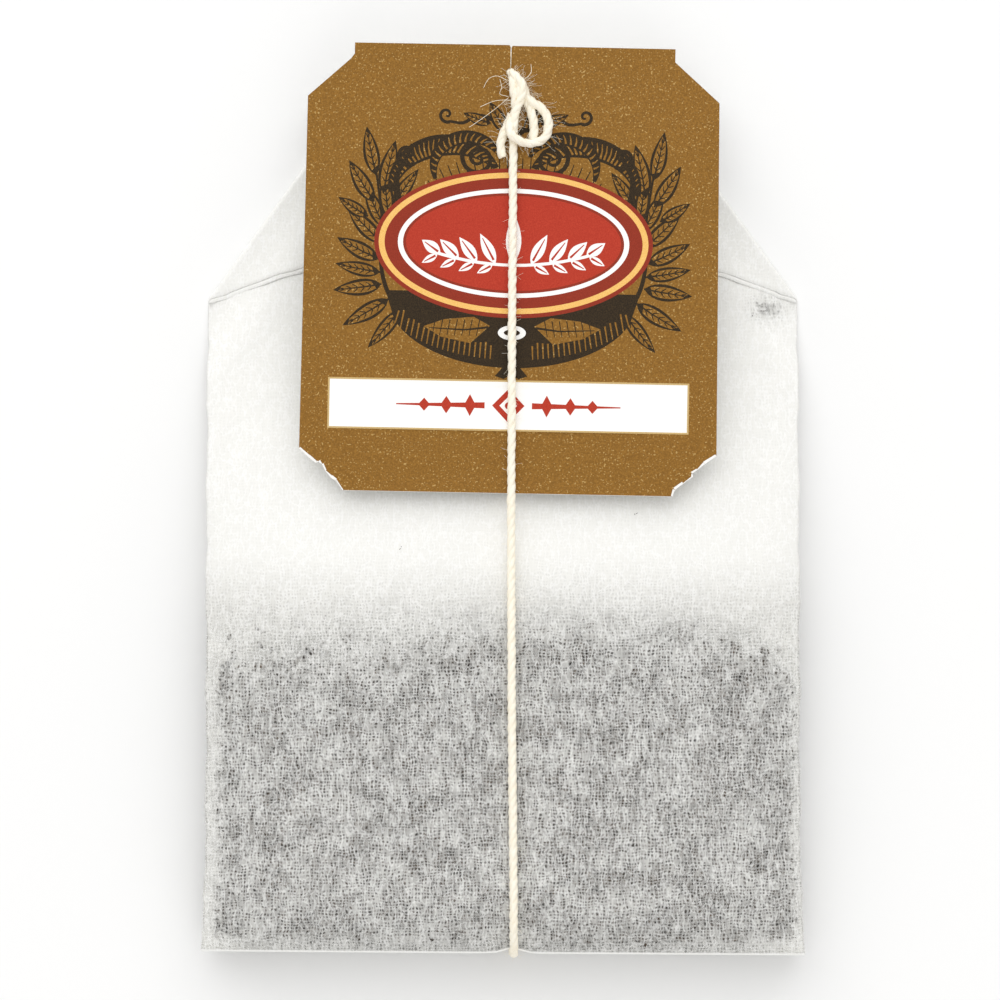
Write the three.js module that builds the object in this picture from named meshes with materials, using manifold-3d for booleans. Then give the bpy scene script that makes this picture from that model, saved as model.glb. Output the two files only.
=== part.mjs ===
// A knotted double-chamber tea bag, lying on its back: folded filter paper, two portions of tea, a card tag and
// a cotton thread. Millimetres. X runs across the bag, Y along it from the bottom fold to the head, and Z up from
// the surface it lies on. The origin is on that surface, under the middle of the bag.

import * as THREE from "three";
import { mergeVertices } from "three/addons/utils/BufferGeometryUtils.js";
import Module from "manifold-3d";

const wasm = await Module();
wasm.setup();

// Outline of the bag.
const HALF_WIDTH = 19.95; // from the middle to a side fold
const FLARE = 0.35; // what each bottom corner stands out past the side fold
const FLARE_REACH = 4;
const BOTTOM = -30.75; // bottom fold, at the middle
const BOTTOM_LEAN = 0.007; // the right corner hangs a little lower than the left
const HEAD = 29.4; // head fold
const SHOULDER = 13.4; // where the folded corners leave the side folds
const CORNER_ANGLE = THREE.MathUtils.degToRad(54.3);
const HEAD_HALF = HALF_WIDTH - (HEAD - SHOULDER) / Math.tan(CORNER_ANGLE);

// Thickness of the bag.
const WALL = 0.1; // filter paper
const EMPTY = 0.34; // an empty chamber: two walls and the air between
const FULL = 3.2; // a chamber at its thickest
const EDGE = 0.35; // flattened paper along every fold
const LAYER_GAP = 0.08; // between layers that lie on each other
const BOTTOM_ROUND = 4.2; // length over which the bottom fold swells to full thickness
const FULL_UP_TO = -13; // above this the bag thins
const EMPTY_FROM = 18;
const BACK_EDGE = 0.55; // height of the back chamber's folds, as a share of its thickness
const FRONT_EDGE = 0.15;
const RESTING = 0.13; // how much of the back chamber's belly its own weight presses flat

// Folds.
const APEX = -22.8; // top of the W fold between the chambers
const LEG = 0.2; // two walls pressed together
const GUSSET_GAP = 0.72; // room between the chambers for both legs of the W
const FLAP = 0.4; // a folded corner, four walls
const FLAP_LENGTH = 19.6; // side of the corner that is folded forward
const STRIP = 0.42; // the head, folded over to the front
const STRIP_END = 24.2;

// Tea.
const TEA_BOTTOM = -29.9;
const TEA_SIDE = 0.5; // clear margin at each side fold
const TEA_LEVEL = -11; // top of the tea, with a heap to the right of the middle
const TEA_HEAP = 2.9;
const TEA_EDGE = 0.4; // height of the last grains above the lower wall
const TEA_SLOPE = 6; // how steeply the heap falls to them, in full thicknesses
const HEAP_X = 6.5;
const HEAP_SPREAD = 9.5;
const TEA_CLEAR = 0.06;

// Thread.
const THREAD_RADIUS = 0.3;
const THREAD_X = 0.75;
const CHANNEL = 0.78; // how far the paper rises over the thread under it
const CHANNEL_SPREAD = 0.8;
const CHANNEL_FOOT = 0.003; // the rise that is left out, so that the paper beside the channel is flat
const CHANNEL_IN_STRIP = 0.45; // share of the rise that is left on top of the folded head
const BOTTOM_DENT = 0.2; // what the thread pulls in the bottom folds
const KNOT_Y = 26;
const NEEDLE_HOLE = 0.5; // radius

// Tag.
const TAG_CARD = 0.3;
const TAG_CENTRE = new THREE.Vector3(0.65, 15.42, 4.17);
const TAG_TURN = THREE.MathUtils.degToRad(-1.1);
const TAG_TILT = THREE.MathUtils.degToRad(-4);
const SLIT_X = -0.27;
const SLIT_END = 13.65;
const SLIT_HALF = 0.08;
const SLIT_EYE = 0.4; // radius of the end that the thread has pulled open

// Grid lines of the paper: finer at the folds and beside the thread.
const COLUMNS = [-19.95, -19.5, -18, -15, -11.3, -7.5, -4, -1.6, -0.55, 0.1, THREAD_X, 1.4, 2.05, 3.4, 6.5, 10.5, 15, 18,
  19.5, 19.95].map((x) => x / HALF_WIDTH);
const ROWS = [0, 0.005, 0.016, 0.035, 0.07, 0.14, 0.25, 0.36, 0.47, 0.57, 0.68, 0.8, 0.91, 1];

const clamp = THREE.MathUtils.clamp;
const smooth = (from, to, value) => THREE.MathUtils.smoothstep(value, from, to);

function solidOf(geometry) {
  const bare = geometry.clone();
  bare.deleteAttribute("normal");
  bare.deleteAttribute("uv");
  const merged = mergeVertices(bare, 1e-4);
  return new wasm.Manifold(
    new wasm.Mesh({
      numProp: 3,
      vertProperties: new Float32Array(merged.attributes.position.array),
      triVerts: new Uint32Array(merged.index.array),
    }),
  );
}

function geometryOf(solid) {
  const mesh = solid.getMesh();
  const geometry = new THREE.BufferGeometry();
  geometry.setAttribute("position", new THREE.BufferAttribute(mesh.vertProperties, 3));
  geometry.setIndex(new THREE.BufferAttribute(mesh.triVerts, 1));
  geometry.computeVertexNormals();
  return geometry;
}

const joined = (solids) => solids.reduce((all, solid) => all.add(solid));

// The closed body between two height fields. place(u, v) gives the x and y of a grid point.
function slab(columns, rows, place, low, high) {
  const points = [];
  for (const height of [low, high]) {
    for (const v of rows) {
      for (const u of columns) {
        const [x, y] = place(u, v);
        points.push(x, y, height(x, y, v));
      }
    }
  }
  const wide = columns.length;
  const long = rows.length;
  const top = wide * long;
  const faces = [];
  const quad = (a, b, c, d) => faces.push(a, b, c, a, c, d);
  for (let j = 0; j < long - 1; j++) {
    for (let i = 0; i < wide - 1; i++) {
      const a = j * wide + i;
      quad(top + a, top + a + 1, top + a + 1 + wide, top + a + wide);
      quad(a, a + wide, a + wide + 1, a + 1);
    }
    const left = j * wide;
    const right = left + wide - 1;
    quad(left + wide, left, top + left, top + left + wide);
    quad(right, right + wide, top + right + wide, top + right);
  }
  for (let i = 0; i < wide - 1; i++) {
    const last = (long - 1) * wide + i;
    quad(i, i + 1, top + i + 1, top + i);
    quad(last + 1, last, top + last, top + last + 1);
  }
  const geometry = new THREE.BufferGeometry();
  geometry.setAttribute("position", new THREE.Float32BufferAttribute(points, 3));
  geometry.setIndex(faces);
  return solidOf(geometry);
}

function tube(points, radius, sides, steps) {
  const section = new THREE.Shape(
    Array.from({ length: sides }, (_, i) => {
      const angle = (2 * Math.PI * i) / sides;
      return new THREE.Vector2(radius * Math.cos(angle), radius * Math.sin(angle));
    }),
  );
  const extrudePath = new THREE.CatmullRomCurve3(points.map((p) => new THREE.Vector3(...p)));
  return new THREE.ExtrudeGeometry(section, { steps, bevelEnabled: false, extrudePath });
}

// Outline of the bag as functions of x or y.
const overThread = (x) => Math.max(0, Math.exp(-(((x - THREAD_X) / CHANNEL_SPREAD) ** 2)) - CHANNEL_FOOT);
const halfWidth = (y) => HALF_WIDTH + FLARE * Math.exp((BOTTOM - y) / FLARE_REACH);
const bottomEdge = (x) => BOTTOM - BOTTOM_LEAN * x + BOTTOM_DENT * overThread(x);
const topEdge = (x) => Math.min(HEAD, SHOULDER + (HALF_WIDTH - Math.abs(x)) * Math.tan(CORNER_ANGLE));

// Grid point of the bag, drawn in from every edge by inset.
function onBag(inset) {
  return (u, v) => {
    const flatX = u * HALF_WIDTH;
    const low = bottomEdge(flatX) + inset;
    const y = low + v * (topEdge(flatX) - inset - low);
    return [u * (halfWidth(y) - inset), y];
  };
}

// Shares of the full thickness: along the bag, round the bottom fold, and across it.
const filled = (y) => (1 + Math.cos(Math.PI * clamp((y - FULL_UP_TO) / (EMPTY_FROM - FULL_UP_TO), 0, 1))) / 2;
function swelling(x, y) {
  const round = 1 - clamp((y - bottomEdge(x)) / BOTTOM_ROUND, 0, 1);
  const across = Math.max(0, 1 - Math.abs(x / halfWidth(y)) ** 4) ** 0.75;
  return Math.sqrt(1 - round * round) * across;
}

// Height of each face of the two chambers. The side and bottom folds of the back one stand off the surface,
// and the front one rests on it.
const gussetRoom = (y) => LAYER_GAP + (GUSSET_GAP - LAYER_GAP) * (1 - smooth(APEX, APEX + 3, y));
const belly = (y) => (FULL - EMPTY) * filled(y) - (gussetRoom(y) - LAYER_GAP) / 2;
const thickness = (x, y) => EMPTY + belly(y) * swelling(x, y);
const edgeRise = (x, y, share) => share * belly(y) * (1 - swelling(x, y));
const ridge = (x, y) => CHANNEL * overThread(x) * (1 - filled(y));
const restingLow = (x, y) => Math.max(0, edgeRise(x, y, BACK_EDGE) - RESTING * swelling(x, y));
const backLow = (x, y) => Math.max(restingLow(x, y), CHANNEL * overThread(x));
const backHigh = (x, y) => edgeRise(x, y, BACK_EDGE) + thickness(x, y) + ridge(x, y);
const frontLow = (x, y) => EMPTY + belly(y) + gussetRoom(y) + edgeRise(x, y, FRONT_EDGE) + ridge(x, y);
const frontHigh = (x, y) => frontLow(x, y) + thickness(x, y);

// The space between two faces of a chamber, drawn in by wall on every side.
const chamberSpace = (low, high, inset, wall) =>
  slab(COLUMNS, ROWS, onBag(inset), (x, y) => low(x, y) + wall, (x, y) => high(x, y) - wall);

const chamber = (low, high) => chamberSpace(low, high, 0, 0).subtract(chamberSpace(low, high, EDGE, WALL));

// One leg of the W fold. It is joined to its chamber along the bottom fold and to the other leg at the apex.
function gussetLeg(face, away) {
  const shares = [0, 0.04, 0.08, 0.4, 0.7, 0.93, 1];
  const place = (u, v) => {
    const flatX = u * HALF_WIDTH;
    const y = bottomEdge(flatX) + v * (APEX - bottomEdge(flatX));
    return [u * halfWidth(y), y];
  };
  const middle = (x, y) => (backHigh(x, y) + frontLow(x, y)) / 2;
  const near = (x, y, v) => face(x, y) + away * (v < 0.05 ? -2 * LAYER_GAP : LAYER_GAP);
  const far = (x, y, v) => (v > 0.9 ? middle(x, y) + away * LAYER_GAP : face(x, y) + away * (LAYER_GAP + LEG));
  return away > 0 ? slab(COLUMNS, shares, place, near, far) : slab(COLUMNS, shares, place, far, near);
}

// A corner folded forward. Its free edges are the side fold and the head edge, turned over the slanted fold.
function cornerFlap(side) {
  const along = new THREE.Vector2(-Math.cos(CORNER_ANGLE), Math.sin(CORNER_ANGLE));
  const out = new THREE.Vector2(Math.sin(CORNER_ANGLE), Math.cos(CORNER_ANGLE)).multiplyScalar(LAYER_GAP);
  const start = new THREE.Vector2(HALF_WIDTH, SHOULDER).add(out);
  const end = start.clone().addScaledVector(along, (HEAD - SHOULDER) / Math.sin(CORNER_ANGLE));
  const turned = 2 * CORNER_ANGLE - Math.PI / 2;
  const tip = start.clone().add(new THREE.Vector2(-Math.cos(turned), Math.sin(turned)).multiplyScalar(FLAP_LENGTH));
  const shares = [0, 0.15, 0.3, 0.5, 0.7, 0.85, 1];
  const columns = side > 0 ? shares : shares.toReversed();
  const place = (s, t) => {
    const point = start.clone().lerp(end, s).lerp(tip, t);
    return [side * point.x, point.y];
  };
  const low = (x, y, t) => (t < 0.04 ? backLow(x, y) + WALL : frontHigh(x, y) + LAYER_GAP);
  const high = (x, y) => frontHigh(x, y) + LAYER_GAP + FLAP;
  return slab(columns, [0, 0.035, 0.06, 0.3, 0.55, 0.8, 0.96], place, low, high);
}

// The head folded over to the front, on top of the corners.
function headStrip() {
  const columns = [-1, -0.6, -0.19, -0.07, 0.01, THREAD_X / HEAD_HALF, 0.17, 0.25, 0.37, 0.7, 1];
  const shares = [0, 0.35, 0.7, 0.93, 1];
  const reach = HEAD_HALF - 0.25;
  const place = (u, v) => [u * reach, STRIP_END + v * (HEAD + LAYER_GAP - STRIP_END)];
  const bed = (x) => 2 * EMPTY + FLAP + 3 * LAYER_GAP + CHANNEL * CHANNEL_IN_STRIP * overThread(x);
  const low = (x, y, v) => (v > 0.9 ? backLow(x, y) + WALL : bed(x));
  return slab(columns, shares, place, low, (x) => bed(x) + STRIP);
}

function filterPaper() {
  const hole = new THREE.CylinderGeometry(NEEDLE_HOLE, NEEDLE_HOLE, 8, 10);
  hole.rotateX(Math.PI / 2).translate(THREAD_X, KNOT_Y, 2);
  return joined([
    chamber(backLow, backHigh),
    chamber(frontLow, frontHigh),
    gussetLeg(backHigh, 1),
    gussetLeg(frontLow, -1),
    cornerFlap(1),
    cornerFlap(-1),
    headStrip(),
  ]).subtract(solidOf(hole));
}

// Tea fills its chamber up to a level line and thins out there.
function teaPortion(low, high) {
  const level = (x) => TEA_LEVEL + TEA_HEAP * Math.exp(-(((x - HEAP_X) / HEAP_SPREAD) ** 2));
  const room = chamberSpace(low, high, TEA_SIDE, WALL + TEA_CLEAR);
  const columns = [-1.1, -0.7, -0.4, -0.15, 0.1, 0.3, 0.5, 0.75, 1.1];
  const place = (u, v) => {
    const x = u * HALF_WIDTH;
    return [x, TEA_BOTTOM + v * (level(x) - TEA_BOTTOM)];
  };
  const heapTop = (x, y, v) => (v > 0.85 ? low(x, y) + WALL + (1 - v) * TEA_SLOPE * FULL + TEA_EDGE : high(x, y) + 1);
  return room.intersect(slab(columns, [0, 0.84, 0.86, 0.93, 1], place, (x, y) => low(x, y) - 1, heapTop));
}

// The card, eight-sided with a short neck under its top edge, and torn at its two lower corners.
function tagCard() {
  const outline = [
    [-14.0, 11.55], [-14.1, -12.46], [-13.45, -13.05], [-12.97, -13.42], [-12.76, -13.35], [-12.54, -13.51],
    [-12.3, -13.95], [-11.9, -14.42], [-11.56, -14.61], [-11.1, -15.25], [11.22, -15.25], [11.38, -14.8],
    [11.94, -14.36], [12.6, -13.87], [12.52, -13.67], [12.87, -13.42], [13.37, -13.01], [14.15, -12.46],
    [13.95, 11.57], [10.9, 14.32], [10.9, 15.22], [SLIT_X + 0.2, 15.25], [SLIT_X + SLIT_HALF, 14.95],
    [SLIT_X + SLIT_HALF, SLIT_END + SLIT_EYE],
  ];
  const card = new THREE.Shape(outline.map((p) => new THREE.Vector2(...p)));
  card.absarc(SLIT_X, SLIT_END, SLIT_EYE, Math.PI * 0.42, Math.PI * 0.58, true);
  card.lineTo(SLIT_X - SLIT_HALF, 14.95);
  card.lineTo(SLIT_X - 0.2, 15.28);
  card.lineTo(-10.88, 15.25);
  card.lineTo(-10.88, 14.5);
  card.lineTo(-11.12, 14.16);
  card.closePath();
  return new THREE.ExtrudeGeometry(card, { depth: TAG_CARD, bevelEnabled: false, curveSegments: 10 });
}

// A round lump of thread, drawn tight.
function lump(centre, radii) {
  const geometry = new THREE.SphereGeometry(1, 12, 8);
  geometry.scale(...radii).translate(...centre);
  return solidOf(geometry);
}

const strand = (points) => solidOf(tube(points, THREAD_RADIUS, 6, 2 * points.length));

// The thread's end at the tag, in the tag's own frame: it comes through the end of the slit from a stop knot
// behind the card, and is knotted into a round loop with a short cut tail.
function tagKnot() {
  const lying = TAG_CARD + 0.02 + THREAD_RADIUS; // centre of a strand that lies on the card
  return joined([
    lump([SLIT_X, SLIT_END, -0.24], [0.62, 0.62, 0.18]),
    strand([[SLIT_X, SLIT_END, -0.3], [SLIT_X, SLIT_END, 0.5], [SLIT_X + 0.1, SLIT_END - 0.4, 0.75]]),
    lump([0.25, 12.65, lying + 0.05], [0.58, 0.95, 0.33]),
    strand([[0.36, 12.3, 0.9], [0.3, 11.5, 0.75], [0.08, 10.7, lying], [0, 9.7, lying], [0.02, 8.75, lying]]),
    strand([
      [0.45, 12.3, 0.85], [1.13, 11.7, lying], [1.78, 11.1, lying], [2.3, 10.4, lying], [2.42, 9.7, lying],
      [2.1, 9.0, lying], [1.45, 8.65, 0.9], [0.75, 8.75, 1.1], [0.15, 9.35, 1.05],
    ]),
    strand([[0.5, 12.1, 0.8], [0.85, 11.2, lying], [1.18, 10.3, lying], [1.28, 9.4, lying], [1.2, 8.7, lying]]),
    strand([[0, 10.4, lying], [-0.36, 9.84, lying], [-0.66, 9.0, lying], [-0.76, 8.35, lying], [-0.66, 7.65, lying]]),
  ]);
}

// The knot on the folded head. Its stitch goes down through the needle hole to the thread under the bag.
function bagKnot() {
  const stitch = new THREE.CylinderGeometry(THREAD_RADIUS, THREAD_RADIUS, 1.8, 8);
  stitch.rotateX(Math.PI / 2).translate(THREAD_X, KNOT_Y, 1.66);
  return lump([THREAD_X, KNOT_Y, 2.58], [0.85, 0.95, 0.42]).add(solidOf(stitch));
}

// The thread leaves the knot on the head, goes over the head fold, down under the bag, round the bottom folds
// and up the front, over the tag.
const THREAD_ROUTE = [
  [0.75, 27.1, 2.46],
  [0.75, 28.3, 2.44],
  [0.75, 29.3, 2.52],
  [0.75, 29.95, 2.15],
  [0.75, 30.04, 1.45],
  [0.75, 29.98, 0.8],
  [0.75, 29.5, 0.4],
  [0.75, 28.4, 0.36],
  [0.75, 22, 0.36],
  [0.75, 10, 0.36],
  [0.75, -5, 0.36],
  [0.75, -18, 0.36],
  [0.75, -27, 0.36],
  [0.75, -29.4, 0.36],
  [0.76, -30.5, 0.48],
  [0.78, -31.0, 1.15],
  [0.8, -31.02, 2.2],
  [0.82, -30.92, 3.4],
  [0.84, -30.97, 4.5],
  [0.84, -30.8, 5.35],
  [0.84, -30.25, 6.1],
  [0.84, -29.2, 6.66],
  [0.83, -27.5, 6.86],
  [0.8, -24, 6.86],
  [0.74, -18, 6.86],
  [0.7, -13, 6.84],
  [0.68, -8, 6.58],
  [0.67, -4, 6.2],
  [0.67, 0, 5.93],
  [0.7, 5, 5.55],
  [0.73, 12, 5.07],
  [0.78, 19, 4.58],
  [0.82, 24, 4.24],
];

const group = new THREE.Group();
const onTag = new THREE.Group();
onTag.position.copy(TAG_CENTRE);
onTag.rotation.set(TAG_TILT, 0, TAG_TURN);
group.add(onTag);

function addPiece(parent, name, geometry, color, roughness, metalness = 0) {
  const mesh = new THREE.Mesh(geometry, new THREE.MeshStandardMaterial({ color, roughness, metalness }));
  mesh.name = name;
  parent.add(mesh);
}

const PAPER_WHITE = 0xf6f5ef;
const TEA_BROWN = 0x2c2119;
const COTTON = 0xf4ecd8;
const GOLD = 0xa0732f;

addPiece(group, "filter_paper", geometryOf(filterPaper()), PAPER_WHITE, 0.9);
addPiece(group, "tea_back", geometryOf(teaPortion(backLow, backHigh)), TEA_BROWN, 0.85);
addPiece(group, "tea_front", geometryOf(teaPortion(frontLow, frontHigh)), TEA_BROWN, 0.85);
addPiece(group, "thread", tube(THREAD_ROUTE, THREAD_RADIUS, 8, 80), COTTON, 0.95);
addPiece(group, "bag_knot", geometryOf(bagKnot()), COTTON, 0.95);
addPiece(onTag, "tag", tagCard(), GOLD, 0.4, 0.3);
addPiece(onTag, "tag_knot", geometryOf(tagKnot()), COTTON, 0.95);

export default group;
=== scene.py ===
# A knotted double-chamber tea bag, lying on its back: folded filter paper with two portions of tea in it,
# a gold card tag, and the cotton thread that is knotted to both. It is made in the frame's metres, from
# lengths that are written in millimetres.
import math

import bmesh
import bpy
import numpy as np
from mathutils import Matrix, Vector, noise
from mathutils.geometry import delaunay_2d_cdt


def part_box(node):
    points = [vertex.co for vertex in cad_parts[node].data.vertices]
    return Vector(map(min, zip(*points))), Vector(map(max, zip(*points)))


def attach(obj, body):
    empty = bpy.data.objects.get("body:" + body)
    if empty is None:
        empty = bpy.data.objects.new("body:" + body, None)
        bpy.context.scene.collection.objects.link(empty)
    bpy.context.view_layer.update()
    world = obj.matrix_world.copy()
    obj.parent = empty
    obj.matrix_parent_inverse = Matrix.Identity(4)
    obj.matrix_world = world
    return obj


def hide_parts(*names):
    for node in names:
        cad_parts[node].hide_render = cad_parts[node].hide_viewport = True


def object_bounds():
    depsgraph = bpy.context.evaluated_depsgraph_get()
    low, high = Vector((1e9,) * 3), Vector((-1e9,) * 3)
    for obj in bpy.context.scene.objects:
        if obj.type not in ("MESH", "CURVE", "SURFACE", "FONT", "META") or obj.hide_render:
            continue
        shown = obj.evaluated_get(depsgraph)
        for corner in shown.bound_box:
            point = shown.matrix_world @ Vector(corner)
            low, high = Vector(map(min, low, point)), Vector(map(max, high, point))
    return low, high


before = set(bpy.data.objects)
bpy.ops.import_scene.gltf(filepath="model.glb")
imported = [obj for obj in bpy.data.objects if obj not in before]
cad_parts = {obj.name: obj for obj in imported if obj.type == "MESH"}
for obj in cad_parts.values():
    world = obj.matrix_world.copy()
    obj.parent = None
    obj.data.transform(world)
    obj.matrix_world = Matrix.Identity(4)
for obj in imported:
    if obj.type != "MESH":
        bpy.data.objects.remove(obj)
cad_low, cad_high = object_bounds()
MM = 0.001

# ------------------------------------------------
# The table it lies on, and the light over it: a white surface, a broad soft light from the head's
# side and a little to the left, a weaker one from the other end, and a pale room all round. The
# camera looks straight down.
# ------------------------------------------------
CAMERA_HEIGHT = 0.5035
CAMERA_ASIDE = -0.1 * MM
CAMERA_SENSOR = 36
CAMERA_LENS = 265
ROOM_COLOR = (1, 0.997, 0.99, 1)
ROOM_STRENGTH = 0.72
FLOOR_HALF = 1.5
FLOOR_THICK = 0.02
FLOOR_WHITE = (0.9, 0.9, 0.9, 1)
FLOOR_PALE = (0.91, 0.91, 0.905, 1)

middle = (cad_low + cad_high) / 2
camera = bpy.data.objects.new("camera", bpy.data.cameras.new("camera"))
camera.data.sensor_width = CAMERA_SENSOR
camera.data.lens = CAMERA_LENS
camera.location = (middle.x + CAMERA_ASIDE, middle.y, CAMERA_HEIGHT)
bpy.context.collection.objects.link(camera)
bpy.context.scene.camera = camera
bpy.context.scene.view_settings.view_transform = "Standard"

room = bpy.data.worlds.new("pale_room")
room.use_nodes = True
room_glow = room.node_tree.nodes["Background"].inputs
room_glow["Color"].default_value = ROOM_COLOR
room_glow["Strength"].default_value = ROOM_STRENGTH
bpy.context.scene.world = room


def soft_light(name, place, size, power):
    """A round lamp in metres and watts that faces the bag."""
    lamp = bpy.data.lights.new(name, "AREA")
    lamp.shape = "DISK"
    lamp.size = size
    lamp.energy = power
    holder = bpy.data.objects.new(name, lamp)
    holder.location = place
    holder.rotation_mode = "QUATERNION"
    holder.rotation_quaternion = (-Vector(place)).to_track_quat("-Z", "Y")
    bpy.context.collection.objects.link(holder)


soft_light("key_light", (-0.1, 0.74, 0.6), 1.6, 7.9)
soft_light("fill_light", (0.2, -0.78, 0.5), 1.0, 1.6)


class Wire:
    """A socket of a node tree. Sums and products of wires add Math nodes to the tree."""

    def __init__(self, tree, socket=None):
        self.tree = tree
        self.socket = socket

    def node(self, kind, settings=None, inputs=None, out=0):
        """Adds a node of any kind: its settings first, then the values or the wires of its sockets."""
        made = self.tree.nodes.new(kind)
        for name, value in (settings or {}).items():
            setattr(made, name, value)
        for name, value in (inputs or {}).items():
            for one in value if isinstance(value, list) else [value]:
                if isinstance(one, Wire):
                    self.tree.links.new(one.socket, made.inputs[name])
                else:
                    made.inputs[name].default_value = one
        return Wire(self.tree, made.outputs[out])

    def geometry(self, kind, inputs=None, settings=None, out=0):
        return self.node("GeometryNode" + kind, settings, inputs, out)

    def maths(self, operation, *values):
        return self.node("ShaderNodeMath", {"operation": operation}, dict(enumerate(values)))

    def vector(self, operation, *values):
        """Vector maths on this wire and the values."""
        return self.node("ShaderNodeVectorMath", {"operation": operation}, dict(enumerate((self, *values))))

    def scaled(self, share):
        """This vector times another wire's number."""
        made = self.vector("SCALE")
        share.to(made.socket.node.inputs["Scale"])
        return made

    def stored(self, name):
        """A number that the mesh holds under that name."""
        return self.geometry("InputNamedAttribute", {"Name": name}, {"data_type": "FLOAT"})

    def random(self, low, high, seed):
        """A random vector between two, another for each point."""
        inputs = {0: low, 1: high, "Seed": seed}
        return self.node("FunctionNodeRandomValue", {"data_type": "FLOAT_VECTOR"}, inputs)

    def __add__(self, other):
        return self.maths("ADD", self, other)

    __radd__ = __add__

    def __sub__(self, other):
        return self.maths("SUBTRACT", self, other)

    def __rsub__(self, other):
        return self.maths("SUBTRACT", other, self)

    def __mul__(self, other):
        return self.maths("MULTIPLY", self, other)

    __rmul__ = __mul__

    def __truediv__(self, other):
        return self.maths("DIVIDE", self, other)

    def __pow__(self, other):
        return self.maths("POWER", self, other)

    def step(self, low, high):
        """0 up to low, 1 from high, and smooth between."""
        inputs = {"Value": self, "From Min": low, "From Max": high}
        return self.node("ShaderNodeMapRange", {"interpolation_type": "SMOOTHSTEP"}, inputs)

    def grain(self, scale, detail=2.0, out=0):
        """Noise along this vector."""
        return self.node("ShaderNodeTexNoise", None, {"Vector": self, "Scale": scale, "Detail": detail}, out)

    def to(self, socket):
        self.tree.links.new(self.socket, socket)


def color_mix(share, first, second):
    return share.node("ShaderNodeMix", {"data_type": "RGBA"}, {0: share, 6: first, 7: second}, out=2)


def new_finish(name, roughness, specular):
    """A material, its shader, and its Object coordinates in millimetres."""
    material = bpy.data.materials.new(name)
    material.use_nodes = True
    shader = material.node_tree.nodes["Principled BSDF"]
    shader.inputs["Roughness"].default_value = roughness
    shader.inputs["Specular IOR Level"].default_value = specular
    place = Wire(material.node_tree).node("ShaderNodeTexCoord", out=3)
    return material, shader, place.vector("MULTIPLY", (1 / MM, 1 / MM, 1 / MM))


def relief(shader, height, depth, strength=1.0):
    """Bumps of that depth, in millimetres, on a shader."""
    inputs = {"Height": height, "Distance": depth * MM, "Strength": strength}
    height.node("ShaderNodeBump", None, inputs).to(shader.inputs["Normal"])


def edited(mesh, change):
    """Changes a mesh by a bmesh operation."""
    work = bmesh.new()
    work.from_mesh(mesh)
    change(work)
    work.to_mesh(mesh)
    work.free()


def mesh_piece(name, points, faces, materials):
    """A mesh object at the origin, from points in millimetres and lists of point numbers."""
    mesh = bpy.data.meshes.new(name)
    mesh.from_pydata([tuple(p) for p in np.array(points, float) * MM], [], [tuple(f) for f in faces])
    for material in materials:
        mesh.materials.append(material)
    piece = bpy.data.objects.new(name, mesh)
    bpy.context.collection.objects.link(piece)
    return piece


floor_corners = [(x, y, z) for z in (-FLOOR_THICK, 0) for x, y in ((-1, -1), (1, -1), (1, 1), (-1, 1))]
floor_points = [(x * FLOOR_HALF / MM, y * FLOOR_HALF / MM, z / MM) for x, y, z in floor_corners]
floor_faces = [(3, 2, 1, 0), (4, 5, 6, 7), (0, 1, 5, 4), (1, 2, 6, 5), (2, 3, 7, 6), (3, 0, 4, 7)]
floor_finish, floor_shader, floor_place = new_finish("white_table", 0.9, 0.1)
color_mix(floor_place.grain(0.02), FLOOR_WHITE, FLOOR_PALE).to(floor_shader.inputs["Base Color"])
mesh_piece("floor", floor_points, floor_faces, [floor_finish])

# ------------------------------------------------
# The thread: 0.6 mm cotton, three plies twisted together. It leaves the knot on the folded head,
# goes over the head and down under the bag, round the bottom folds, up the front and over the tag,
# into the knot on the tag.
# ------------------------------------------------
THREAD = 0.6
PLY_CENTRE = 0.105  # from the thread's own centre
PLY_RADIUS = 0.195
TWIST = 2.1  # length of one turn of the plies
THREAD_STEP = 0.16
THREAD_LUMPS = 0.9  # thick and thin places in a millimetre
COTTON = (0.97, 0.925, 0.81, 1)
COTTON_SHADE = (0.93, 0.85, 0.69, 1)

TAG_CENTRE = Vector((0.65, 15.42, 4.17))  # middle of the card's underside
TAG_TILT = math.radians(-4)
TAG_TURN = math.radians(-1.1)
CARD = 0.3
tag_turned = Matrix.Rotation(TAG_TILT, 4, "X") @ Matrix.Rotation(TAG_TURN, 4, "Z")
on_tag = Matrix.Translation(TAG_CENTRE) @ tag_turned
LYING = CARD + 0.02 + THREAD / 2  # height of a strand that lies on the card


def tag_points(points):
    """Points in the card's own frame, put where the card is."""
    return [tuple(on_tag @ Vector(p)) for p in points]


THREAD_ROUTE = [
    (0.75, 27.1, 2.46), (0.75, 28.3, 2.44), (0.75, 29.3, 2.52), (0.75, 29.95, 2.15), (0.75, 30.04, 1.45),
    (0.75, 29.98, 0.8), (0.75, 29.5, 0.4), *((0.75, y, 0.36) for y in (28.4, 22, 10, -5, -18, -27, -29.4)),
    (0.76, -30.5, 0.48),
    (0.78, -31.0, 1.15), (0.8, -31.02, 2.2), (0.82, -30.92, 3.4), (0.84, -30.97, 4.5), (0.84, -30.8, 5.35),
    (0.84, -30.25, 6.1), (0.84, -29.2, 6.66), (0.83, -27.5, 6.86), (0.8, -24, 6.86), (0.74, -18, 6.86),
    (0.7, -13, 6.84), (0.68, -8, 6.58), (0.67, -4, 6.2), (0.67, 0, 5.93), (0.7, 5, 5.55),
    (0.73, 12, 5.07), (0.78, 19, 4.58), (0.82, 24, 4.24),
]
INTO_KNOT = tag_points([
    (0.02, 9.7, LYING + 0.1), (0.1, 10.7, LYING + 0.1), (0.3, 11.5, 0.85), (0.4, 12.1, 0.9),
])


def blend(a, b, start, end, t):
    return a * ((end - t) / (end - start)) + b * ((t - start) / (end - start))


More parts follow.
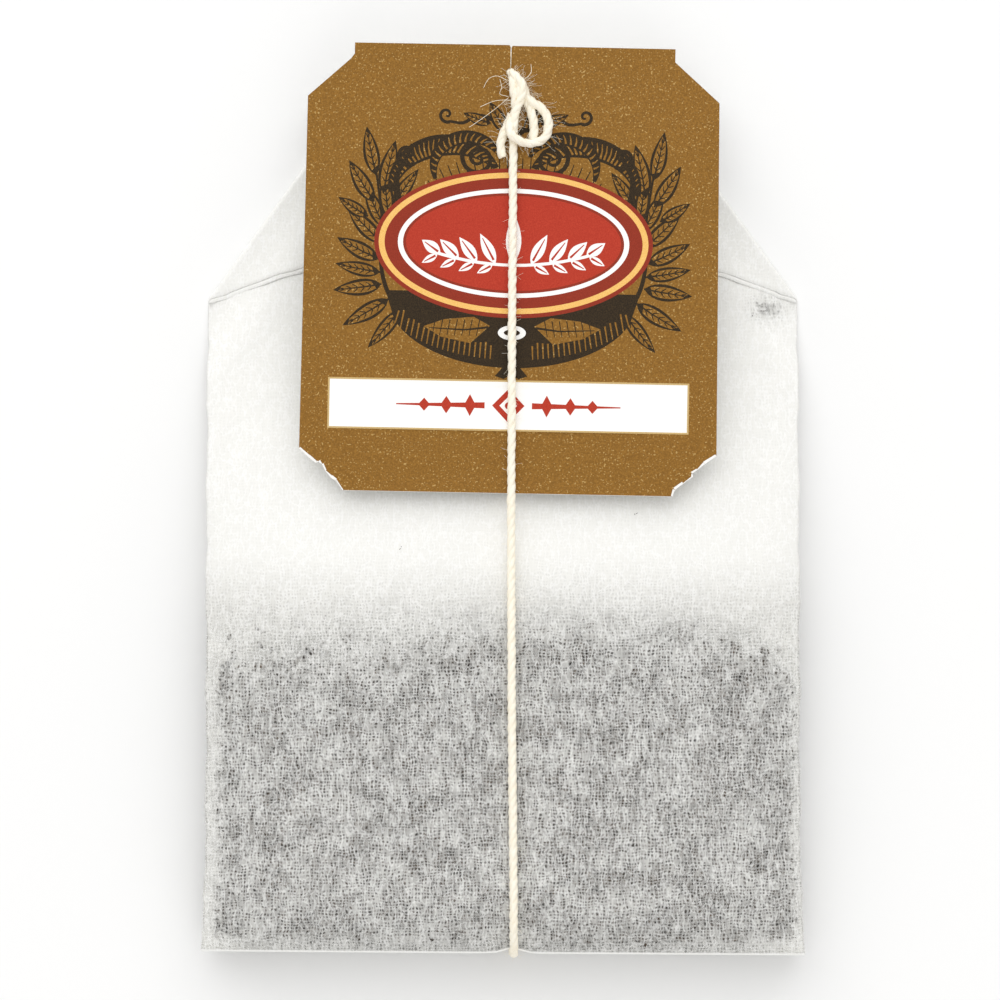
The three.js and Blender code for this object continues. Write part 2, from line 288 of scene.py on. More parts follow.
def smooth_line(points, spacing):
    """A centripetal Catmull-Rom curve through the points, as points that far apart."""
    given = [Vector(p) for p in points]
    given = [given[0] * 2 - given[1], *given, given[-1] * 2 - given[-2]]
    line = []
    for a, b, c, d in zip(given, given[1:], given[2:], given[3:]):
        t1 = math.sqrt((b - a).length)
        t2 = t1 + math.sqrt((c - b).length)
        t3 = t2 + math.sqrt((d - c).length)
        count = max(2, math.ceil((c - b).length / spacing))
        for i in range(count):
            t = t1 + (t2 - t1) * i / count
            ab, bc, cd = blend(a, b, 0, t1, t), blend(b, c, t1, t2, t), blend(c, d, t2, t3, t)
            line.append(blend(blend(ab, bc, 0, t2, t), blend(bc, cd, t1, t3, t), t1, t2, t))
    return [*line, given[-2]]


cotton, cotton_shader, cotton_place = new_finish("cotton", 0.85, 0.25)
cotton_fibres = cotton_place.vector("MULTIPLY", (9, 3.5, 9)).grain(1.0, 4)
cotton_lumps = cotton_place.grain(1.7)
cotton_shade = (cotton_fibres * 0.6 + cotton_lumps * 0.6).step(0.35, 0.85)
color_mix(cotton_shade, COTTON_SHADE, COTTON).to(cotton_shader.inputs["Base Color"])
relief(cotton_shader, cotton_fibres, 0.02, 0.5)


def line_object(name, lines):
    """Curve data of open lines, each a list of points in millimetres."""
    curve = bpy.data.curves.new(name, "CURVE")
    curve.dimensions = "3D"
    for line in lines:
        spline = curve.splines.new("POLY")
        spline.points.add(len(line) - 1)
        for at, point in zip(spline.points, line):
            at.co = (*(Vector(point) * MM), 1)
    return curve


SOCKETS = {float: "NodeSocketFloat", int: "NodeSocketInt", type(None): "NodeSocketMaterial"}


def node_group(name, inputs):
    """A new geometry tree with a geometry in and out, and with named inputs that have these values."""
    tree = bpy.data.node_groups.new(name, "GeometryNodeTree")
    tree.interface.new_socket("Geometry", in_out="INPUT", socket_type="NodeSocketGeometry")
    tree.interface.new_socket("Geometry", in_out="OUTPUT", socket_type="NodeSocketGeometry")
    for label, value in inputs.items():
        socket = tree.interface.new_socket(label, in_out="INPUT", socket_type=SOCKETS[type(value)])
        if value is not None:
            socket.default_value = value
    given = tree.nodes.new("NodeGroupInput")
    return tree, {socket.name: Wire(tree, socket) for socket in given.outputs if socket.name}


def end_tree(wire, material):
    """Realizes what the wire holds, gives it its material, and sends it out of the tree."""
    real = wire.geometry("RealizeInstances", {"Geometry": wire})
    shown = real.geometry("SetMaterial", {"Geometry": real, "Material": material})
    out = wire.tree.nodes.new("NodeGroupOutput")
    shown.to(out.inputs[0])


def grown(name, data, tree, values):
    """The mesh that a geometry tree makes from data, as a plain object at the origin."""
    seed = bpy.data.objects.new(name + "_seed", data)
    bpy.context.collection.objects.link(seed)
    modifier = seed.modifiers.new("nodes", "NODES")
    modifier.node_group = tree
    for item in tree.interface.items_tree:
        if item.in_out == "INPUT" and item.name in values:
            modifier[item.identifier] = values[item.name]
    bpy.context.view_layer.update()
    graph = bpy.context.evaluated_depsgraph_get()
    mesh = bpy.data.meshes.new_from_object(seed.evaluated_get(graph), depsgraph=graph)
    mesh.name = name
    bpy.data.objects.remove(seed)
    piece = bpy.data.objects.new(name, mesh)
    bpy.context.collection.objects.link(piece)
    return piece


def twisted_thread():
    """Plies that wind round each line of a curve."""
    tree, given = node_group("twisted_thread", {
        "Ply Centre": PLY_CENTRE * MM,
        "Ply Radius": PLY_RADIUS * MM,
        "Twist": TWIST * MM,
        "Step": THREAD_STEP * MM,
        "Unevenness": 0.22,
        "Material": None,
    })
    inputs = {"Curve": given["Geometry"], "Length": given["Step"]}
    line = given["Geometry"].geometry("ResampleCurve", inputs, {"mode": "LENGTH"})
    length = line.geometry("SplineParameter", out=1)
    normal = line.geometry("InputNormal")
    across = line.geometry("InputTangent").vector("CROSS_PRODUCT", normal)
    inputs = {"Resolution": 8, "Radius": given["Ply Radius"]}
    section = line.geometry("CurvePrimitiveCircle", inputs)
    plies = []
    for ply in range(3):
        turn = length / given["Twist"] * math.tau + ply * math.tau / 3
        swing = normal.scaled(turn.maths("COSINE", turn))
        sway = across.scaled(turn.maths("SINE", turn))
        away = swing.vector("ADD", sway).scaled(given["Ply Centre"])
        moved = line.geometry("SetPosition", {"Geometry": line, "Offset": away})
        place = line.geometry("InputPosition").vector("ADD", (ply * 0.01, 0, 0))
        size = place.grain(THREAD_LUMPS / MM, 1)
        scale = 1 + (size - 0.5) * 2 * given["Unevenness"]
        inputs = {"Curve": moved, "Profile Curve": section, "Scale": scale, "Fill Caps": True}
        plies.append(line.geometry("CurveToMesh", inputs))
    end_tree(line.geometry("JoinGeometry", {"Geometry": plies}), given["Material"])
    return tree


thread_tree = twisted_thread()


def thread_piece(name, lines, **values):
    return grown(name, line_object(name + "_lines", lines), thread_tree, {"Material": cotton, **values})


thread_line = smooth_line([*THREAD_ROUTE, *INTO_KNOT], 0.3)
thread = thread_piece("cotton_thread", [thread_line])
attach(thread, "root")
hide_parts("thread")

# ------------------------------------------------
# The knot at the tag, in the thread's own cotton. The thread comes up through the end of the slit
# from a stop knot behind the card, and is knotted into a round loop with a short cut tail.
# ------------------------------------------------
SLIT_X = -0.27
SLIT_END = 13.4
KNOT_PLY_RADIUS = 0.215  # the slack plies are fuller than in the drawn thread


def coil(centre, radii, turns):
    """A line that winds round an egg-shaped knot from one end to the other, along the card's Y."""
    count = int(turns * 14)
    line = []
    for i in range(count + 1):
        share = i / count
        angle = math.tau * turns * share
        waist = math.sin(math.pi * (0.12 + 0.76 * share)) ** 0.6
        line.append((
            centre[0] + radii[0] * waist * math.cos(angle),
            centre[1] + radii[1] * (1 - 2 * share),
            centre[2] + radii[2] * waist * math.sin(angle),
        ))
    return line


TAG_STRANDS = [
    [(SLIT_X, SLIT_END, -0.1), (SLIT_X + 0.02, SLIT_END, 0.3), (-0.1, 13.25, 0.66), (0.2, 12.95, 0.96),
     (0.52, 12.5, 1.08), (0.54, 11.88, 1.06), (0.32, 11.2, 1.0), (0.06, 10.52, 0.92), (-0.02, 9.84, 0.86),
     (-0.02, 9.2, 0.8)],
    [(-0.14, 13.15, 0.45), (-0.08, 12.8, 0.78), (-0.04, 12.15, 0.86), (0.08, 11.6, 0.84), (0.1, 11.0, 0.78)],
    [(0.1, 13.0, 0.6), (0.3, 12.5, 0.9), (0.36, 11.9, 0.95), (0.34, 11.3, 0.85)],
    [(0.3, 12.9, 0.6), (0.66, 12.3, 0.72), (0.8, 11.78, 0.78), (1.17, 11.38, 0.74), (1.8, 11.0, LYING),
     (2.24, 10.42, LYING), (2.37, 9.74, LYING), (2.2, 9.06, LYING), (1.66, 8.66, LYING), (1.02, 8.52, 0.8),
     (0.36, 8.68, 1.1), (-0.16, 9.1, 1.2), (-0.26, 9.7, 0.95), (-0.16, 10.3, 0.7)],
    [(0.4, 12.4, 0.62), (0.7, 11.7, 0.6), (1.06, 11.0, 0.56), (1.3, 10.3, LYING - 0.02),
     (1.38, 9.6, LYING - 0.04), (1.34, 8.8, LYING - 0.06)],
]
TAG_TAIL = [
    (-0.1, 10.5, 0.6), (-0.34, 9.9, LYING), (-0.68, 9.2, LYING), (-0.86, 8.5, LYING), (-0.78, 7.9, 0.56),
    (-0.68, 7.62, 0.54),
]

tag_lines = [smooth_line(tag_points(line), 0.15) for line in [*TAG_STRANDS, TAG_TAIL]]
stop_knot = coil((SLIT_X, SLIT_END, -0.36), (0.3, 0.3, 0.1), 2.2)
tag_lines.append(smooth_line(tag_points(stop_knot), 0.15))
tag_knot = thread_piece("tag_loop_knot", tag_lines, **{"Unevenness": 0.3, "Ply Radius": KNOT_PLY_RADIUS * MM})
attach(tag_knot, "root")
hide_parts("tag_knot")

# ------------------------------------------------
# Loose cotton fibres: short ones that have worked out of the thread and stand off it, most of them
# at the knot, and a few long ones that lie on the card. Each is held by the twist of the thread it
# comes from.
# ------------------------------------------------
FIBRE_BENDS = 1.1  # waves of a fibre in a millimetre
LONG_FIBRE = 0.011  # radius of one of its three strands
LONG_FIBRE_CENTRE = 0.005
LONG_FIBRES = [
    [(-2.1, 12.3, LYING - 0.2), (-1.75, 12.9, LYING), (-1.2, 13.1, LYING + 0.1), (-0.5, 12.8, 0.7)],
    [(-2.3, 11.0, LYING - 0.2), (-1.3, 11.4, LYING), (-0.02, 11.46, 0.9)],
    [(-3.0, 9.6, LYING - 0.25), (-2.0, 10.3, LYING - 0.1), (-1.1, 11.0, LYING), (-0.4, 11.6, 0.8)],
    [(1.1, 13.95, LYING - 0.1), (1.12, 13.4, LYING), (0.8, 13.0, 0.75), (0.5, 12.8, 0.8)],
    [(-1.0, 12.9, LYING), (-0.85, 12.3, LYING), (-1.0, 11.9, LYING), (-0.4, 11.7, 0.8)],
]


def loose_fibres():
    """Short fibres that stand off a thread."""
    tree, given = node_group("loose_fibres", {
        "Spacing": 0.35 * MM,
        "Length": 1.0 * MM,
        "Thickness": 0.0075 * MM,
        "Wave": 0.45 * MM,
        "Seed": 4,
        "Material": None,
    })
    line = given["Geometry"]
    inputs = {"Curve": line, "Length": given["Spacing"]}
    roots = line.geometry("CurveToPoints", inputs, {"mode": "LENGTH"})
    shape = {"Resolution": 7, "Start": (0, 0, 0), "Middle": (0.45, 0.1, 0.4), "End": (1, 0.3, 0.1)}
    fibre = line.geometry("CurveQuadraticBezier", shape)
    turn = line.random((-0.25, -0.25, 0), (0.25, 0.25, math.tau), given["Seed"])
    size = line.random((0.25, -0.8, 0.2), (1.1, 0.8, 0.7), given["Seed"] + 1).scaled(given["Length"])
    placed = {"Points": roots, "Instance": fibre, "Rotation": turn, "Scale": size}
    grown_out = line.geometry("InstanceOnPoints", placed)
    real = line.geometry("RealizeInstances", {"Geometry": grown_out})
    sway = line.geometry("InputPosition").grain(FIBRE_BENDS / MM, 1.0, out=1)
    bent = sway.vector("SUBTRACT", (0.5, 0.5, 0.5)).scaled(given["Wave"])
    wavy = line.geometry("SetPosition", {"Geometry": real, "Offset": bent})
    inputs = {"Resolution": 3, "Radius": given["Thickness"]}
    section = line.geometry("CurvePrimitiveCircle", inputs)
    inputs = {"Curve": wavy, "Profile Curve": section, "Fill Caps": True}
    end_tree(line.geometry("CurveToMesh", inputs), given["Material"])
    return tree


fibre_tree = loose_fibres()
for name, lines, spacing, length, seed in (
    ("thread_fuzz", [thread_line], 0.3, 0.8, 4), ("knot_fuzz", tag_lines[:-1], 0.07, 1.15, 8),
):
    values = {"Spacing": spacing * MM, "Length": length * MM, "Seed": seed, "Material": cotton}
    fuzz = grown(name, line_object(name + "_lines", lines), fibre_tree, values)
    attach(fuzz, "root")
long_lines = [smooth_line(tag_points(line), 0.12) for line in LONG_FIBRES]
strand = {"Ply Centre": LONG_FIBRE_CENTRE * MM, "Ply Radius": LONG_FIBRE * MM}
long_fibres = thread_piece("long_fibres", long_lines, **strand)
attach(long_fibres, "root")

# ------------------------------------------------
# The knot on the head, the thread's other end. It is tied on the folded paper, and a stitch goes
# from it down through a needle hole.
# ------------------------------------------------
bag_knot_low, bag_knot_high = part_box("bag_knot")
knot_x = (bag_knot_low.x + bag_knot_high.x) / 2 / MM
knot_y = (bag_knot_low.y + bag_knot_high.y) / 2 / MM
knot_top = bag_knot_high.z / MM
head_coil = coil((knot_x, knot_y, knot_top - 0.45), (0.5, 0.6, 0.16), 3.2)
stitch = [(knot_x, knot_y, z) for z in (knot_top - 0.5, 1.7, 1.0, bag_knot_low.z / MM)]
lead_out = [(knot_x, knot_y + y, z) for y, z in ((0.2, knot_top - 0.6), (1.2, 2.46), (1.8, 2.45))]
bag_knot = thread_piece("head_knot", [smooth_line(line, 0.15) for line in (head_coil, stitch, lead_out)])
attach(bag_knot, "root")
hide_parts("bag_knot")

thread_length = sum((b - a).length for a, b in zip(thread_line, thread_line[1:])) * MM
tuple(Vector(THREAD_ROUTE[0]) * MM)
[tuple(p * MM) for p in thread_line]

# ------------------------------------------------
# The filter paper: one flattened tube of thin porous paper. It is folded up into a W between its
# two chambers, its open ends lie together at the head, both corners are folded forward, and the
# head is folded over them.
# ------------------------------------------------
BAG_X = 0.1
HALF_WIDTH = 20.15  # from the middle to a side fold
FLARE = 0.35  # what each bottom corner stands out past the side fold
FLARE_REACH = 4
BOTTOM = -30.97
BOTTOM_LEAN = 0.007
BOTTOM_TURN = 0.2  # how far the bottom folds round out
HEAD = 29.4
HEAD_ROLL = 0.3  # how far the folded head rounds out
SHOULDER = 13.4  # where the folded corners leave the side folds
CORNER_ANGLE = math.radians(54.3)
PAPER_END = HEAD + 5.2  # the open ends, before the head is folded

PAPER = 0.05
OPEN_GAP = 0.34  # an empty chamber
PRESSED_GAP = 0.1  # an empty chamber beside a fold
FULL_GAP = 3.2
LAYER_GAP = 0.08
BOTTOM_ROUND = 4.2  # length over which the bottom fold swells to full thickness
FULL_UP_TO = -13
EMPTY_FROM = 18
BACK_EDGE = 0.55  # height of the back chamber's folds, as a share of its thickness
FRONT_EDGE = 0.15
RESTING = 0.13  # how much of the back chamber's belly its own weight presses flat
APEX = -22.8  # top of the W fold
GUSSET_GAP = 0.72
CHANNEL = 0.78  # how far the paper rises over the thread under it
CHANNEL_SPREAD = 0.8
BOTTOM_DENT = 0.32
THREAD_X = 0.75


def over_thread(x):
    return np.exp(-(((x - THREAD_X) / CHANNEL_SPREAD) ** 2))


def smooth(low, high, value):
    share = np.clip((value - low) / (high - low), 0, 1)
    return share * share * (3 - 2 * share)


def half_width(y):
    wander = 0.05 * np.sin(0.9 * y + 1) + 0.035 * np.sin(2.3 * y) + 0.02 * np.sin(5.1 * y + 2)
    return HALF_WIDTH + FLARE * np.exp((BOTTOM - y) / FLARE_REACH) + wander * smooth(-31, -27, y)


def bottom_edge(x):
    return BOTTOM - BOTTOM_LEAN * x + BOTTOM_DENT * over_thread(x)


def top_edge(x):
    return np.minimum(HEAD, SHOULDER + (HALF_WIDTH - np.abs(x - BAG_X)) * math.tan(CORNER_ANGLE))


def filled(y):
    return (1 + np.cos(math.pi * np.clip((y - FULL_UP_TO) / (EMPTY_FROM - FULL_UP_TO), 0, 1))) / 2


def swelling(x, y):
    """Share of the full thickness, round the bottom fold and across the bag."""
    inward = 1 - np.clip((y - bottom_edge(x)) / BOTTOM_ROUND, 0, 1)
    across = np.maximum(0, 1 - np.abs((x - BAG_X) / half_width(y)) ** 4) ** 0.75
    return np.sqrt(1 - inward**2) * across


def gusset_room(y):
    return LAYER_GAP + (GUSSET_GAP - LAYER_GAP) * (1 - smooth(APEX, APEX + 3, y))


def belly(y):
    return (FULL_GAP - OPEN_GAP) * filled(y) - (gusset_room(y) - LAYER_GAP) / 2


def pressed(x, y):
    """0 in the open bag, 1 from a fold of the head on."""
    return smooth(6.5, 0.4, top_edge(x) - y)


def empty(x, y):
    return OPEN_GAP + (PRESSED_GAP - OPEN_GAP) * pressed(x, y)


def fullness(x, y):
    return belly(y) * (1 - pressed(x, y))


def edge_rise(x, y, share):
    return share * fullness(x, y) * (1 - swelling(x, y))


def ridge(x, y):
    return CHANNEL * over_thread(x) * (1 - filled(y))


def back_low(x, y):
    resting = np.maximum(0, edge_rise(x, y, BACK_EDGE) - RESTING * swelling(x, y))
    return np.maximum(resting, CHANNEL * over_thread(x))


def back_high(x, y):
    return edge_rise(x, y, BACK_EDGE) + empty(x, y) + fullness(x, y) * swelling(x, y) + ridge(x, y)


def front_low(x, y):
    gap = gusset_room(y) * (1 - 0.75 * pressed(x, y))
    return empty(x, y) + fullness(x, y) + gap + edge_rise(x, y, FRONT_EDGE) + ridge(x, y)


def front_high(x, y):
    return front_low(x, y) + empty(x, y) + fullness(x, y) * swelling(x, y)


COLUMNS = 84
column_share = np.linspace(-1, 1, COLUMNS)
column_share = np.sign(column_share) * (1 - (1 - np.abs(column_share)) ** 1.6)
flat_x = BAG_X + column_share * HALF_WIDTH
CHAMBER_ROWS = 72
FOLD_ROWS = 20
FOLD_REACH = 2.0
END_SHARES = np.append(np.linspace(0, 1, 18)[:-1], (0.998, 1))  # the short last row keeps the cut edge crisp
GUSSET_ROWS = 12
LEG_GAP = 0.03
LEG = 0.14
INNER_TURN = 0.02  # how far an inner wall rounds out at the bottom
APEX_TURN = (0.18, 0.32)  # and both walls at the top of the W


def chamber_rows():
    """Heights along the bag, one row of the tube each, from the bottom fold to the open end."""
    low = bottom_edge(flat_x) + BOTTOM_TURN
    fold = top_edge(flat_x) - 0.35
    for share in np.linspace(0, 1, CHAMBER_ROWS, endpoint=False) ** 1.15:
        yield low + share * (fold - low)
    for share in np.linspace(0, 1, FOLD_ROWS, endpoint=False):
        yield fold + share * FOLD_REACH
    for share in END_SHARES:
        yield fold + FOLD_REACH + share * (PAPER_END - fold - FOLD_REACH)


def row(y, outer, inner, y_inner=None):
    """One ring of the flattened tube: across on its outer wall and back on its inner one."""
    x = BAG_X + column_share * half_width(y)
    middle_height = (outer[[0, -1]] + inner[[0, -1]]) / 2
    outer_height = outer.copy()
    outer_height[[0, -1]] = middle_height
    y_inner = y if y_inner is None else y_inner
    there = np.stack([x, y, outer_height], axis=1)
    back = np.stack([x, y_inner, inner], axis=1)[-2:0:-1]
    return np.concatenate([there, back])


def bend(y, outer_from, outer_to, inner_from, inner_to, reach, inner_reach):
    """Rings that turn the tube back on itself, from one pair of heights to another."""
    for angle in np.radians([22, 45, 67, 90, 113, 135, 158]):
        share = (1 - math.cos(angle)) / 2
        outer = outer_from + (outer_to - outer_from) * share
        inner = inner_from + (inner_to - inner_from) * share
        yield row(y + reach * math.sin(angle), outer, inner, y + inner_reach * math.sin(angle))


def at_row(y):
    return BAG_X + column_share * half_width(y), y


def front(y):
    """The front chamber's outer and inner wall."""
    return front_high(*at_row(y)), front_low(*at_row(y))


def back(y):
    return back_low(*at_row(y)), back_high(*at_row(y))


rings = [row(y, *front(y)) for y in chamber_rows()][::-1]
bottom_y = bottom_edge(flat_x) + BOTTOM_TURN
outer, inner = front(bottom_y)
rings += bend(bottom_y, outer, inner - LEG_GAP - LEG, inner, inner - LEG_GAP, -BOTTOM_TURN, -INNER_TURN)
leg_ys = [bottom_y + share * (APEX - bottom_y) for share in np.linspace(0, 1, GUSSET_ROWS)]
rings += [row(y, front(y)[1] - LEG_GAP - LEG, front(y)[1] - LEG_GAP) for y in leg_ys]
above = front(leg_ys[-1])[1] - LEG_GAP
below = back(leg_ys[-1])[1] + LEG_GAP
rings += bend(leg_ys[-1], above - LEG, below + LEG, above, below, *APEX_TURN)
rings += [row(y, back(y)[1] + LEG_GAP + LEG, back(y)[1] + LEG_GAP) for y in leg_ys[::-1]]
outer, inner = back(bottom_y)
rings += bend(bottom_y, inner + LEG_GAP + LEG, outer, inner + LEG_GAP, inner, -BOTTOM_TURN, -INNER_TURN)
rings += [row(y, *back(y)) for y in chamber_rows()]

ring_size = 2 * COLUMNS - 2
paper_points = np.concatenate(rings)
chamber_rings = CHAMBER_ROWS + FOLD_ROWS + len(END_SHARES)
outer_wall = np.zeros(len(paper_points))
for first in (0, (len(rings) - chamber_rings) * ring_size):
    for ring in range(chamber_rings):
        outer_wall[first + ring * ring_size:first + ring * ring_size + COLUMNS] = 1


def folded_over(points, start, outward, height, under):
    """Turns the points past the line through start over it, to the front, to lie on the surface under."""
    distance = (points[:, :2] - start) @ outward
    past = distance > 0
    radius = np.maximum(0.004, height - points[:, 2])
    angle = np.clip(distance / radius, 0, math.pi)
    flat = np.maximum(0, distance - math.pi * radius)
    reach = radius * np.sin(angle) - flat
    made = points.copy()
    made[:, :2] += np.outer((reach - distance) * past, outward)
    lift = np.maximum(0, under(made[:, 0], made[:, 1]) - height) * smooth(0, 2.4, flat)
    made[:, 2] = np.where(past, height - radius * np.cos(angle) + lift, points[:, 2])
    return made


PRESSED_STACK = 2 * PRESSED_GAP + 0.25 * LAYER_GAP + 0.01


def on_front(x, y):
    return front_high(x, y) + 0.03


def on_flaps(x, y):
    """The front with the folded corners on it."""
    return on_front(x, y) + (PRESSED_STACK + 0.03) * smooth(2, 3.4, np.abs(x))


for side, lie in ((-1, 0.23), (1, 0.2)):
    outward = np.array([side * math.sin(CORNER_ANGLE), math.cos(CORNER_ANGLE)])
    corner = np.array([BAG_X + side * HALF_WIDTH, SHOULDER]) - outward * lie
    paper_points = folded_over(paper_points, corner, outward, PRESSED_STACK + 0.02, on_front)
head_line = np.array([0, HEAD - HEAD_ROLL])
paper_points = folded_over(paper_points, head_line, np.array([0, 1]), 2 * PRESSED_STACK + 0.08, on_flaps)

for point in paper_points:
    spot = Vector(point)
    soft = noise.noise(spot * 0.22) * 0.05 + noise.noise(spot * 0.9 + Vector((7, 3, 1))) * 0.018
    point[2] += soft * min(1, max(0, point[2] / 0.6))

paper_faces = []
for ring in range(len(rings) - 1):
    for i in range(ring_size):
        a = ring * ring_size + i
        b = ring * ring_size + (i + 1) % ring_size
        paper_faces.append((a, a + ring_size, b + ring_size, b))

PAPER_WHITE = (0.905, 0.9, 0.868, 1)
PAPER_FIBRE = (0.935, 0.932, 0.912, 1)
PORE = 0.222  # from one pore of the paper to the next
FILM_CLEARS = -6  # above this the dry paper lets less show through
CLEAR_FILM = 0.14
PORE_DRIFT = 0.38
FILM_SHOWS = 0.455  # share of what is behind that shows between the pores
PORE_SHOWS = 0.03  # more of it in a pore, where the paper is dense
OPEN_SHOWS = 0.52  # and where it is open
CRUMB_PATCH = (18.1, 12.8)  # crumbs near the wall show through there
CRUMB_REACH = (1.2, 0.7)

filter_paper, paper_shader, paper_place = new_finish("filter_paper", 0.95, 0.15)
drift = paper_place.grain(1.3, 0.0, out=1).vector("SUBTRACT", (0.5, 0.5, 0.5))
drifted = paper_place.vector("ADD", drift.vector("MULTIPLY", (PORE_DRIFT, PORE_DRIFT, 0)))
spread = drifted.node("ShaderNodeSeparateXYZ", None, {"Vector": drifted})
down = Wire(spread.tree, spread.socket.node.outputs[1])
pores_across = spread.maths("COSINE", spread * (math.tau / PORE))
pores_along = spread.maths("COSINE", down * (math.tau / (PORE * 1.06)))
pores = ((pores_across + 1) * (pores_along + 1) * 0.25) ** 0.8
openness = paper_place.vector("MULTIPLY", (4.6, 2.6, 1)).grain(1.0, 1.0).step(0.34, 0.68)
clumps = paper_place.grain(0.6, 1.0).step(0.3, 0.7)
streaks = paper_place.vector("MULTIPLY", (4.5, 0.7, 1)).grain(1.0, 1.0)
wander = paper_place.vector("MULTIPLY", (2.6, 1.2, 1)).grain(1.0, 2.0) - 0.5
fibres = (1 - wander.maths("ABSOLUTE", wander) * 16).step(0, 1)
veil = paper_place.node("ShaderNodeAttribute", {"attribute_name": "see_through"}, out=2)
thin = FILM_SHOWS + pores * (PORE_SHOWS + OPEN_SHOWS * openness)
thin = thin + (clumps - 0.5) * 0.14 + (0.5 - streaks) * 0.3
seen_through = (thin * (1 - 0.3 * fibres)).step(0, 1)
(1 - veil * seen_through ** 0.5).to(paper_shader.inputs["Alpha"])
color_mix(fibres, PAPER_WHITE, PAPER_FIBRE).to(paper_shader.inputs["Base Color"])
relief(paper_shader, streaks * 0.4 + pores * 0.2 + clumps * 0.3, 0.03, 0.5)

bag = mesh_piece("folded_paper", paper_points, paper_faces, [filter_paper])
near_tea = smooth(FILM_CLEARS + 2.5, FILM_CLEARS - 4.5, paper_points[:, 1])
from_crumbs = (paper_points[:, :2] - CRUMB_PATCH) / CRUMB_REACH
near_crumbs = np.exp(-(from_crumbs[:, 0] ** 2) - from_crumbs[:, 1] ** 2)
near_tea = np.maximum(near_tea, near_crumbs)
see_through = outer_wall * (CLEAR_FILM + (1 - CLEAR_FILM) * near_tea)
wall = bag.data.attributes.new("see_through", "FLOAT", "POINT")
wall.data.foreach_set("value", see_through.astype(np.float32))
bag.data.shade_smooth()
thickened = bag.modifiers.new("thickness", "SOLIDIFY")
thickened.thickness = PAPER * MM
thickened.offset = -1
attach(bag, "root")
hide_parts("filter_paper")

# ------------------------------------------------
# The tea: a portion of broken black leaf in each chamber, heaped a little to the right, thinning
# out at its top. A few crumbs have strayed up between the walls.
# ------------------------------------------------
TEA_X = BAG_X + 0.25
TEA_SIDE = 0.6  # clear margin at each side fold, the left one wider
TEA_BOTTOM = 1.0  # and at the bottom fold
BED_INSIDE = 0.45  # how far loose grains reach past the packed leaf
TEA_LEVEL = -10.7
TEA_HEAP = 2.9
HEAP_X = 6.5
HEAP_SPREAD = 9.5
RIGHT_FALL = 1.6
TEA_UNDER_WALL = 0.3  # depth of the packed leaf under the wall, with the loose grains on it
TEA_OFF_FAR_WALL = 0.04
LOOSE_UNDER_WALL = 0.22
STRAY_REACH = 3.8  # how far above the portion the last stray grains lie
CRUMBS = (
    (18.35, 12.85, 1.8, 0.75), (16.95, 12.25, 0.5, 0.45), (-6.8, -3.56, 0.3, 0.3), (9.2, -1.25, 0.3, 0.3),
)
CRUMB_UNDER_WALL = 0.045
CRUMB_AMOUNT = 4.5
CRUMB_SIZE = 0.55  # beside a grain of the portion

tea_leaf, tea_shader, tea_place = new_finish("tea_leaf", 0.75, 0.35)
leaf_tone = tea_place.grain(1.6, 2.0).step(0.3, 0.75)
leaf_spots = tea_place.grain(4.5, 2.0).step(0.55, 0.8)
leaf_brown = color_mix(leaf_tone, (0.012, 0.0095, 0.0075, 1), (0.07, 0.045, 0.025, 1))
color_mix(leaf_spots * 0.6, leaf_brown, (0.16, 0.09, 0.04, 1)).to(tea_shader.inputs["Base Color"])
relief(tea_shader, tea_place.grain(7, 3.0), 0.06)


def tea_level(x):
    heaped = TEA_HEAP * np.exp(-(((x - HEAP_X) / HEAP_SPREAD) ** 2))
    return TEA_LEVEL + heaped - RIGHT_FALL * smooth(13, 21, x)


def tea_wander(x, y):
    return 1.6 * noise.noise(Vector((x * 0.3, y * 0.35, 2))) + 0.8 * noise.noise(Vector((x, y, 7)))


def grain_tree():
    """Loose grains on the faces that are not packed leaf, as thick as the amount attribute says."""
    tree, given = node_group("tea_grains", {
        "Grains": 5.5 / MM**2,
        "Grain Size": 0.42 * MM,
        "Seed": 5,
        "Material": None,
    })
    start = given["Geometry"]
    chosen = {"Geometry": start, "Selection": start.stored("packed")}
    packed = start.geometry("SeparateGeometry", chosen, {"domain": "FACE"})
    bed = Wire(tree, packed.socket.node.outputs[1])
    spread = {"Mesh": bed, "Density": bed.stored("amount") * given["Grains"], "Seed": given["Seed"]}
    points = bed.geometry("DistributePointsOnFaces", spread)
    inputs = {"Radius": given["Grain Size"], "Subdivisions": 1}
    grain = points.geometry("MeshIcoSphere", inputs)
    turn = points.random((-0.22, -0.22, 0), (0.22, 0.22, math.tau), given["Seed"])
    shape = points.random((0.55, 0.3, 0.22), (1.3, 0.75, 0.45), given["Seed"] + 1)
    scale = shape.scaled(points.stored("fineness"))
    placed = {"Points": points, "Instance": grain, "Rotation": turn, "Scale": scale}
    grains = points.geometry("InstanceOnPoints", placed)
    end_tree(grains.geometry("JoinGeometry", {"Geometry": [packed, grains]}), given["Material"])
    return tree


def height_grid(xs, ys, height):
    """Points of a grid whose rows are ys, each with its own xs, and the faces between them."""
    points = [(x, y, height(x, y)) for x_row, y_row in zip(xs, ys) for x, y in zip(x_row, y_row)]
    wide = len(xs[0])
    faces = [
        (j * wide + i, j * wide + i + 1, (j + 1) * wide + i + 1, (j + 1) * wide + i)
        for j in range(len(xs) - 1) for i in range(wide - 1)
    ]
    return points, faces


